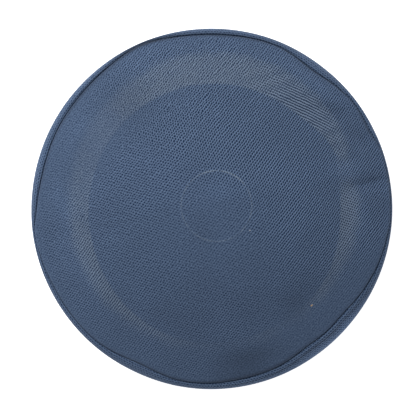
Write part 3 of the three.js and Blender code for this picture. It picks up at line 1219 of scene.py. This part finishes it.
def band_cloth(colours):
    material, nodes = new_material("band_cloth")
    place = cloth_place(nodes)
    blotches = nodes.noise(place, 1 / BLOTCH_LENGTH, 2.0)
    streaks = nodes.ramp(blotches, 0.3, 0.7, 0.3, 0.6)
    relief = weave_height(nodes, place, math.radians(90), (streaks, 0.35, 0.65), 0.9, 0.9)
    rim = bpy.context.scene.kufi_sizes.rim_radius / MM
    turn = nodes.math("MULTIPLY_ADD", nodes.part(place, "X"), 360 / TURN / rim, 180 + FOLD_TURN)
    share = weave_share(nodes, relief)
    colour = weave_colour(nodes, share, colours, turn, BAND_SHADE_REACHES, BAND_STRIPS)
    tone = nodes.ramp(blotches, 0.25, 0.75, 0.98, 1.08)
    colour = nodes.mix(1.0, colour, tone, "MULTIPLY")
    cloth_shader(nodes, colour, relief, LOOSE_ROUGHNESS)
    return material


def thread_material(colours):
    """Twisted sewing thread."""
    material, nodes = new_material("thread")
    place = nodes.add("ShaderNodeTexCoord").outputs["Object"]
    twist = nodes.noise(place, 2500.0, 2.0)
    colour = nodes.mix(twist, (*(part * 0.6 for part in colours.thread), 1), (*colours.thread, 1))
    inputs = {
        "Base Color": colour,
        "Roughness": 0.7,
        "Sheen Weight": 0.2,
        "Normal": nodes.bump(twist, 0.5, 0.05 * MM),
    }
    nodes.surface(inputs)
    return material


def floor_material(colours):
    """A pale sheet, lit a little from below as a photographer's table is."""
    material, nodes = new_material("pale_floor")
    place = nodes.add("ShaderNodeTexCoord").outputs["Object"]
    grain = nodes.noise(place, 60.0, 2.0)
    colour = nodes.mix(grain, (*(part * 0.99 for part in colours.floor), 1), (*colours.floor, 1))
    inputs = {
        "Base Color": colour,
        "Roughness": 0.9,
        "Emission Color": (1, 1, 1, 1),
        "Emission Strength": 0.75,
    }
    nodes.surface(inputs)
    return material


def stitch_tree():
    """A geometry tree that lays stitches along the edges it is given, each with its attribute
    stitch_out pointing out of the cloth."""
    tree = bpy.data.node_groups.new("stitch_row", "GeometryNodeTree")
    nodes = Nodes(tree)
    sockets = {}
    face = tree.interface
    face.new_socket("Path", in_out="INPUT", socket_type="NodeSocketGeometry")
    for name in ("Pitch", "Stitch length", "Thread radius", "Stitch rise", "Sunk"):
        sockets[name] = face.new_socket(name, in_out="INPUT", socket_type="NodeSocketFloat")
    sockets["Material"] = face.new_socket("Material", in_out="INPUT", socket_type="NodeSocketMaterial")
    face.new_socket("Stitches", in_out="OUTPUT", socket_type="NodeSocketGeometry")
    given = nodes.add("NodeGroupInput").outputs

    half = nodes.times(given["Stitch length"], 0.5)
    back = nodes.times(half, -1.0)
    low = nodes.times(given["Sunk"], -1.0)
    high = given["Stitch rise"]
    inputs = {"Resolution": 6}
    for name, x, z in (
        ("Start", back, low),
        ("Start Handle", back, high),
        ("End Handle", half, high),
        ("End", half, low),
    ):
        inputs[name] = nodes.add("ShaderNodeCombineXYZ", None, {"X": x, "Z": z}).outputs[0]
    arch = nodes.add("GeometryNodeCurvePrimitiveBezierSegment", {"mode": "POSITION"}, inputs)
    inputs = {"Resolution": 6, "Radius": given["Thread radius"]}
    section = nodes.add("GeometryNodeCurvePrimitiveCircle", None, inputs)
    inputs = {"Curve": arch.outputs[0], "Profile Curve": section.outputs[0], "Fill Caps": True}
    stitch = nodes.add("GeometryNodeCurveToMesh", None, inputs)

    path = nodes.add("GeometryNodeMeshToCurve", None, {"Mesh": given["Path"]}).outputs[0]
    inputs = {"Curve": path, "Length": given["Pitch"]}
    points = nodes.add("GeometryNodeResampleCurve", {"mode": "LENGTH"}, inputs).outputs[0]
    tangent = nodes.add("GeometryNodeInputTangent").outputs[0]
    out = nodes.add("GeometryNodeInputNamedAttribute", {"data_type": "FLOAT_VECTOR"}, {"Name": "stitch_out"})
    facing = nodes.add("FunctionNodeAlignRotationToVector", {"axis": "X"}, {"Vector": tangent})
    settings = {"axis": "Z", "pivot_axis": "X"}
    inputs = {"Rotation": facing.outputs[0], "Vector": out.outputs[0]}
    turned = nodes.add("FunctionNodeAlignRotationToVector", settings, inputs)
    inputs = {"Points": points, "Instance": stitch.outputs[0], "Rotation": turned.outputs[0]}
    laid = nodes.add("GeometryNodeInstanceOnPoints", None, inputs)
    real = nodes.add("GeometryNodeRealizeInstances", None, {"Geometry": laid.outputs[0]})
    inputs = {"Geometry": real.outputs[0], "Material": given["Material"]}
    dyed = nodes.add("GeometryNodeSetMaterial", None, inputs)
    nodes.add("NodeGroupOutput", None, {"Stitches": dyed.outputs[0]})
    return tree, {name: socket.identifier for name, socket in sockets.items()}


def stitch_path(form):
    """Two closed lines round the hem, outside and inside, with the way out of the cloth."""
    sizes = form.sizes
    angle = np.arange(360.0)
    z = sizes.stitch_height
    outside = form.wall_radius(z, angle) + wall_marks(form, z, angle)
    inside = form.wall_radius(z, angle) - sizes.cloth - sizes.hem_fold + INSIDE_PULL
    points = np.concatenate([ring(outside, z, angle), ring(inside, z, angle)])
    count = len(angle)
    edges = [
        (row * count + step, row * count + (step + 1) % count)
        for row in range(2)
        for step in range(count)
    ]
    mesh = bpy.data.meshes.new("hem_stitches")
    mesh.from_pydata(points.tolist(), edges, [])
    turn = np.radians(angle)
    out = np.stack([np.cos(turn), np.sin(turn), 0 * turn], axis=1)
    layer = mesh.attributes.new("stitch_out", "FLOAT_VECTOR", "POINT")
    layer.data.foreach_set("vector", np.concatenate([out, -out]).astype(np.float32).ravel())
    path = bpy.data.objects.new("hem_stitches", mesh)
    bpy.context.collection.objects.link(path)
    return path


def dress(piece, *nodes, slot):
    """Hangs a finished piece on the root and hides the CAD nodes it stands for. Slot is not used."""
    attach(piece, "root")
    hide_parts(*nodes)


class KUFI_OT_crown(bpy.types.Operator):
    """Adds the round crown, set into the band and rolled into the seam"""

    bl_idname = "kufi.add_crown"
    bl_label = "Crown"

    def execute(self, context):
        crown = crown_mesh(CapForm(context.scene.kufi_sizes))
        crown.data.materials.append(crown_cloth(context.scene.kufi_colours))
        dress(crown, "crown_top", slot="crown_cloth")
        return {"FINISHED"}


class KUFI_OT_band(bpy.types.Operator):
    """Adds the upright side band with its shoulder, closing seam and hem"""

    bl_idname = "kufi.add_band"
    bl_label = "Side band"

    def execute(self, context):
        band = band_mesh(CapForm(context.scene.kufi_sizes))
        band.data.materials.append(band_cloth(context.scene.kufi_colours))
        dress(band, "side_band", slot="band_cloth")
        return {"FINISHED"}


class KUFI_OT_stitches(bpy.types.Operator):
    """Adds the row of stitches that holds the hem, seen outside and inside"""

    bl_idname = "kufi.add_stitches"
    bl_label = "Hem stitches"

    def execute(self, context):
        sizes = context.scene.kufi_sizes
        path = stitch_path(CapForm(sizes))
        tree, sockets = stitch_tree()
        rows = path.modifiers.new("stitches", "NODES")
        rows.node_group = tree
        rows[sockets["Pitch"]] = sizes.stitch_pitch
        rows[sockets["Stitch length"]] = sizes.stitch_length
        rows[sockets["Thread radius"]] = sizes.thread_radius
        rows[sockets["Stitch rise"]] = STITCH_RISE
        rows[sockets["Sunk"]] = STITCH_SUNK
        rows[sockets["Material"]] = thread_material(context.scene.kufi_colours)
        evaluated = path.evaluated_get(context.evaluated_depsgraph_get())
        mesh = bpy.data.meshes.new_from_object(evaluated)
        path.modifiers.clear()
        if not mesh.polygons:
            raise RuntimeError("the hem stitches came out empty")
        path.data = mesh
        mesh.shade_smooth()
        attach(path, "root")
        return {"FINISHED"}


class KUFI_OT_stage(bpy.types.Operator):
    """Adds the pale floor, the soft lights and the camera straight above"""

    bl_idname = "kufi.add_stage"
    bl_label = "Stage"

    def execute(self, context):
        add_floor(context.scene.kufi_colours)
        for lamp in LAMPS:
            add_lamp(lamp)
        add_world()
        add_camera()
        context.scene.view_settings.view_transform = "Standard"
        return {"FINISHED"}


def add_floor(colours):
    reach = 2.0
    corners = np.array([(-reach, -reach, 0), (reach, -reach, 0), (reach, reach, 0), (-reach, reach, 0)])
    floor = make_object("floor", corners, [[0, 1, 2, 3]])
    floor.data.materials.append(floor_material(colours))


# Soft lamps, in metres, watts and the lamp's own width
Lamp = namedtuple("Lamp", "name place power width")
LAMPS = (
    Lamp("key", (-0.55, 0.77, 0.72), 11.0, 0.5),
    Lamp("fill", (0.9, -0.7, 0.9), 1.0, 0.8),
)
AIM = Vector((0, 0, 0.06))

# The white surroundings: their light straight above and at the horizon
SKY_TOP = 0.34
SKY_HORIZON = 0.95


def add_lamp(lamp):
    data = bpy.data.lights.new(lamp.name, "AREA")
    data.energy = lamp.power
    data.size = lamp.width
    light = bpy.data.objects.new(lamp.name, data)
    light.location = lamp.place
    light.rotation_euler = (AIM - light.location).to_track_quat("-Z", "Y").to_euler()
    bpy.context.collection.objects.link(light)


def add_world():
    world = bpy.data.worlds.new("white_surroundings")
    world.use_nodes = True
    nodes = Nodes(world.node_tree)
    way = nodes.add("ShaderNodeTexCoord").outputs["Generated"]
    strength = nodes.ramp(nodes.part(way, "Z"), 0.15, 0.75, SKY_HORIZON, SKY_TOP)
    background = nodes.add("ShaderNodeBackground", None, {"Color": (1, 1, 1, 1), "Strength": strength})
    nodes.add("ShaderNodeOutputWorld", None, {"Surface": background.outputs[0]})
    bpy.context.scene.world = world


# The photograph's frame: its side and where it shows the cap's middle, in its own pixels, and the
# cap's width there
FRAME_SIDE = 416
FRAME_MIDDLE = Vector((211.7, 208.9))
FRAME_CAP_WIDTH = 361.5
CAMERA_RISE = 0.7
SENSOR = 36.0


def add_camera():
    """A camera straight above, which frames the cap's shoulder as the photograph does."""
    sizes = bpy.context.scene.kufi_sizes
    pixel = 2 * sizes.outer_radius / FRAME_CAP_WIDTH
    data = bpy.data.cameras.new("camera")
    data.sensor_width = SENSOR
    data.lens = SENSOR * CAMERA_RISE / (pixel * FRAME_SIDE)
    data.clip_start = 0.01
    camera = bpy.data.objects.new("camera", data)
    half = FRAME_SIDE / 2
    camera.location = (
        (half - FRAME_MIDDLE.x) * pixel,
        (FRAME_MIDDLE.y - half) * pixel,
        sizes.seam_height - sizes.least_shoulder + CAMERA_RISE,
    )
    bpy.context.collection.objects.link(camera)
    bpy.context.scene.camera = camera


class KUFI_PT_panel(bpy.types.Panel):
    """Lists the cap's sizes, colours and pieces"""

    bl_idname = "KUFI_PT_panel"
    bl_label = "Kufi"
    bl_space_type = "VIEW_3D"
    bl_region_type = "UI"
    bl_category = "Kufi"

    def draw(self, context):
        for group in (context.scene.kufi_sizes, context.scene.kufi_colours):
            for name in group.bl_rna.properties.keys():
                if name not in ("rna_type", "name"):
                    self.layout.prop(group, name)
        for operator in PIECE_OPERATORS:
            self.layout.operator(operator.bl_idname)


PIECE_OPERATORS = (KUFI_OT_crown, KUFI_OT_band, KUFI_OT_stitches, KUFI_OT_stage)
CLASSES = (KufiSizes, KufiColours, *PIECE_OPERATORS, KUFI_PT_panel)


def register():
    for entry in CLASSES:
        bpy.utils.register_class(entry)
    bpy.types.Scene.kufi_sizes = PointerProperty(type=KufiSizes)
    bpy.types.Scene.kufi_colours = PointerProperty(type=KufiColours)


def unregister():
    del bpy.types.Scene.kufi_colours
    del bpy.types.Scene.kufi_sizes
    for entry in reversed(CLASSES):
        bpy.utils.unregister_class(entry)


def main():
    register()
    bpy.ops.kufi.add_crown()
    bpy.ops.kufi.add_band()
    bpy.ops.kufi.add_stitches()
    bpy.ops.kufi.add_stage()


if __name__ == "__main__":
    main()
